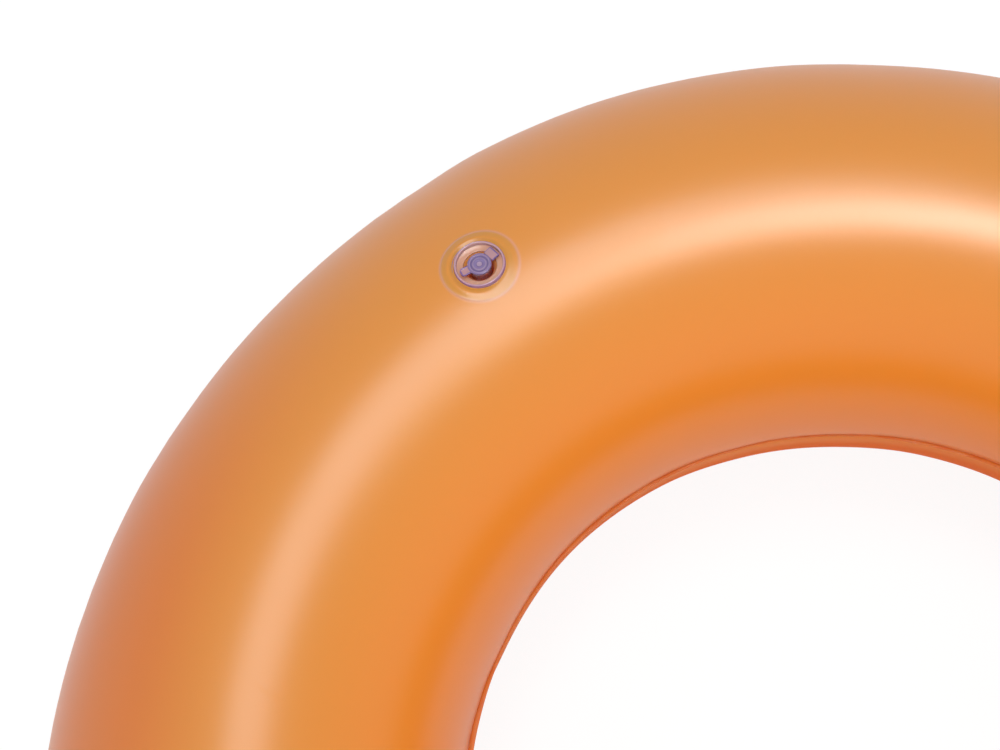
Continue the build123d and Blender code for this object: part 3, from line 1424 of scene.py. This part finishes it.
    def strap(self) -> bpy.types.Object:
        """The folded strap between the stem's rim and the plug's head."""
        bend = (self.leaf_gap + self.leaf) / 2
        root = self.rim_radius - 0.15
        lower = self.fold_height - bend
        upper = self.fold_height + bend
        fold = self.fold_distance
        line = [(root + (fold - root) * step / 6, lower) for step in range(6)]
        for step in range(17):
            angle = math.pi * (step / 16 - 0.5)
            line.append((fold + bend * math.cos(angle), self.fold_height + bend * math.sin(angle)))
        line += [(fold - (fold - root) * step / 6, upper) for step in range(1, 7)]
        piece = drawn("tether_band", line)
        width = self.tether_width * MM
        bpy.ops.transform.translate(value=(0, -width / 2, 0))
        for _ in range(6):
            bpy.ops.mesh.extrude_region_move(TRANSFORM_OT_translate={"value": (0, width / 6, 0)})
        tidy_shell()
        finish_with(piece, "SOLIDIFY", thickness=self.leaf * MM, offset=0.0, use_even_offset=True)
        finish_with(piece, "BEVEL", width=0.12 * MM, segments=3, limit_method="ANGLE", angle_limit=1.0)
        self.place.settle(piece, self.tether_angle)
        self.dressed(piece, "tether_strap", None, self.vinyl.strap)
        start = self.place.on_axis(self.fold_height - self.leaf_gap / 2)
        end = self.place.on_axis(self.fold_height + self.leaf_gap / 2)
        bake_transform(piece)
        return piece

    def flap(self) -> bpy.types.Object:
        """The thin non-return flap under the stem, with the tongue it hangs by."""
        half = self.flap_tongue / 2
        begin = math.asin(half / self.flap_radius)
        turn = math.tau - 2 * begin
        arc = [begin + turn * step / 48 for step in range(49)]
        line = [(self.flap_radius * math.cos(angle), self.flap_radius * math.sin(angle)) for angle in arc]
        line += [(self.flap_hinge, -half), (self.flap_hinge, half)]
        piece = drawn("inner_flap", line)
        bpy.ops.mesh.edge_face_add()
        thick = self.flap_thickness * MM
        bpy.ops.mesh.extrude_region_move(TRANSFORM_OT_translate={"value": (0, thick, 0)})
        tidy_shell()
        turn_by(piece, Matrix.Rotation(math.radians(90), 4, "X"))
        points = coordinates(piece)
        top = (self.stem_bottom - self.flap_gap) * MM
        points[:, 2] += top - points[:, 2].max()
        move_to(piece, points)
        finish_with(piece, "BEVEL", width=0.06 * MM, segments=2, limit_method="ANGLE", angle_limit=1.0)
        self.place.settle(piece, self.flap_angle)
        return self.dressed(piece, "check_flap", "flap", self.vinyl.clear)

    def build(self) -> list[bpy.types.Object]:
        """Makes every piece of the valve."""
        return [self.flange(), self.bellows(), self.stem(), self.strap(), self.plug(), self.flap()]


# ---------------------------------------------------------------- surroundings


@dataclass(frozen=True)
class Lamp:
    """A square soft box.

    Attributes:
        place: Where it hangs, in metres.
        aim: The point it faces.
        size: The length of its side, in metres.
        power: In watts.
        spread: The full angle that its grid lets light out in, in degrees.
        gleam_only: Whether it only shows in the film's gloss.
    """

    place: Point
    aim: Point
    size: float
    power: float
    spread: float = 180.0
    gleam_only: bool = False


@dataclass
class Studio:
    """A white floor, soft light from above and the camera, all in metres.

    Attributes:
        ground: Side of the floor.
        floor_glow: How far the floor shows as plain white, which leaves the rest for its shadow.
        lamps: The soft boxes.
        sky: Strength of the sky's light.
        sky_tilt: How much stronger it is on its bright side, as a share.
        bright_side: The direction of that side.
        white: Strength of the sky and the floor where they are seen.
        lens: In millimetres.
        eye: The camera's place.
        target: The point it looks at.
        roll: Its turn about its line of sight, in degrees.
    """

    ground: float = 5.0
    floor_glow: float = 0.85
    lamps: tuple[Lamp, ...] = (
        Lamp((0.41, -0.2, 1.9), (0.1, 0.0, 0.1), 0.7, 9.3),
        Lamp((0.12, -0.185, 0.78), (0.16, -0.175, 0.18), 0.17, 0.105, 46.0, gleam_only=True),
    )
    sky: float = 0.68
    sky_tilt: float = 0.95
    bright_side: Point = (-0.85, 0.25, 0.2)
    white: float = 1.06
    lens: float = 54.8
    eye: Point = (-0.00785, 0.11351, 0.77651)
    target: Point = (0.25638, 0.00843, 0.0921)
    roll: float = -14.46

    def camera(self) -> bpy.types.Object:
        """Puts the camera above the body hole, looking down at the valve's side of the ring."""
        bpy.ops.object.select_all(action="DESELECT")
        bpy.ops.object.camera_add(location=self.eye)
        camera = bpy.context.object
        look = (Vector(self.target) - Vector(self.eye)).to_track_quat("-Z", "Y")
        turn = look.to_matrix().to_4x4() @ Matrix.Rotation(math.radians(self.roll), 4, "Z")
        camera.rotation_euler = turn.to_euler()
        camera.data.lens = self.lens
        camera.data.clip_start = 0.01
        bpy.context.scene.camera = camera
        return camera

    def hang(self, lamp: Lamp) -> bpy.types.Object:
        """Hangs one soft box, out of the camera's sight."""
        bpy.ops.object.light_add(type="AREA", location=lamp.place)
        box = bpy.context.object
        box.data.size = lamp.size
        box.data.energy = lamp.power
        box.data.spread = math.radians(lamp.spread)
        way = Vector(lamp.aim) - Vector(lamp.place)
        box.rotation_euler = way.to_track_quat("-Z", "Y").to_euler()
        box.visible_camera = False
        box.visible_diffuse = not lamp.gleam_only
        return box

    def backdrop(self) -> None:
        """An even sky that looks white where it shows or reflects."""
        world = bpy.data.worlds.new("soft_sky")
        bpy.context.scene.world = world
        world.use_nodes = True
        graph = Graph(world.node_tree)
        way = graph.add("TexCoord", output="Generated")
        toward = graph.add("VectorMath", {"operation": "DOT_PRODUCT"}, {0: way, 1: self.bright_side}, "Value")
        light = toward.reckon("MULTIPLY_ADD", toward, self.sky * self.sky_tilt, self.sky)
        values = {"Value": graph.in_view(), "To Min": light, "To Max": self.white}
        background = graph.nodes["Background"]
        graph.put(background.inputs["Strength"], graph.add("MapRange", values=values))
        graph.put(background.inputs["Color"], (1.0, 1.0, 1.0))

    def floor(self) -> bpy.types.Object:
        """A pale floor that keeps a faint shadow and looks white elsewhere."""
        bpy.ops.object.select_all(action="DESELECT")
        bpy.ops.mesh.primitive_plane_add(size=self.ground)
        floor = bpy.context.object
        floor.name = "studio_floor"
        recipe = Recipe("pale_floor")
        glow = recipe.add("Emission", values={"Color": (1, 1, 1), "Strength": self.white})
        recipe.finish(Base_Color=(0.9, 0.9, 0.9), Roughness=1.0, Specular_IOR_Level=0.0)
        floor.data.materials.append(recipe.mixed_in(recipe.in_view() * self.floor_glow, glow))
        return floor

    def build(self) -> None:
        """Makes the whole studio."""
        bpy.context.scene.view_settings.view_transform = "Standard"
        self.camera()
        for lamp in self.lamps:
            self.hang(lamp)
        self.backdrop()
        self.floor()


# ---------------------------------------------------------------- everything in order


def main() -> None:
    """Builds the studio, the films, the welds and the valve."""
    logging.basicConfig(level=logging.INFO, format="%(name)s: %(message)s")
    Studio().build()
    tube = Tube.from_frame()
    puckers = Puckers()
    place = ValvePlace.from_frame(rim_height=0.1 * MM)
    dull = {"haze": 0.0, "gloss": 0.3, "roughness": 0.4}
    finishes = {
        Half.UPPER: FilmFinish("orange_film", tube, place).make(),
        Half.LOWER: FilmFinish("orange_film_below", tube, place, **dull).make(),
    }
    films = Films(tube, puckers, Unevenness(), place, finishes)
    for half in Half:
        log.info("made %s", films.build(half).name)
    welds = Welds(tube, puckers, WeldFinish().make())
    for piece in (welds.outer(), welds.inner()):
        log.info("made %s", piece.name)
    valve = BlowValve(place, tube, ValveVinyl.at(place), films)
    for piece in valve.build():
        log.info("made %s", piece.name)


if __name__ == "__main__":
    main()
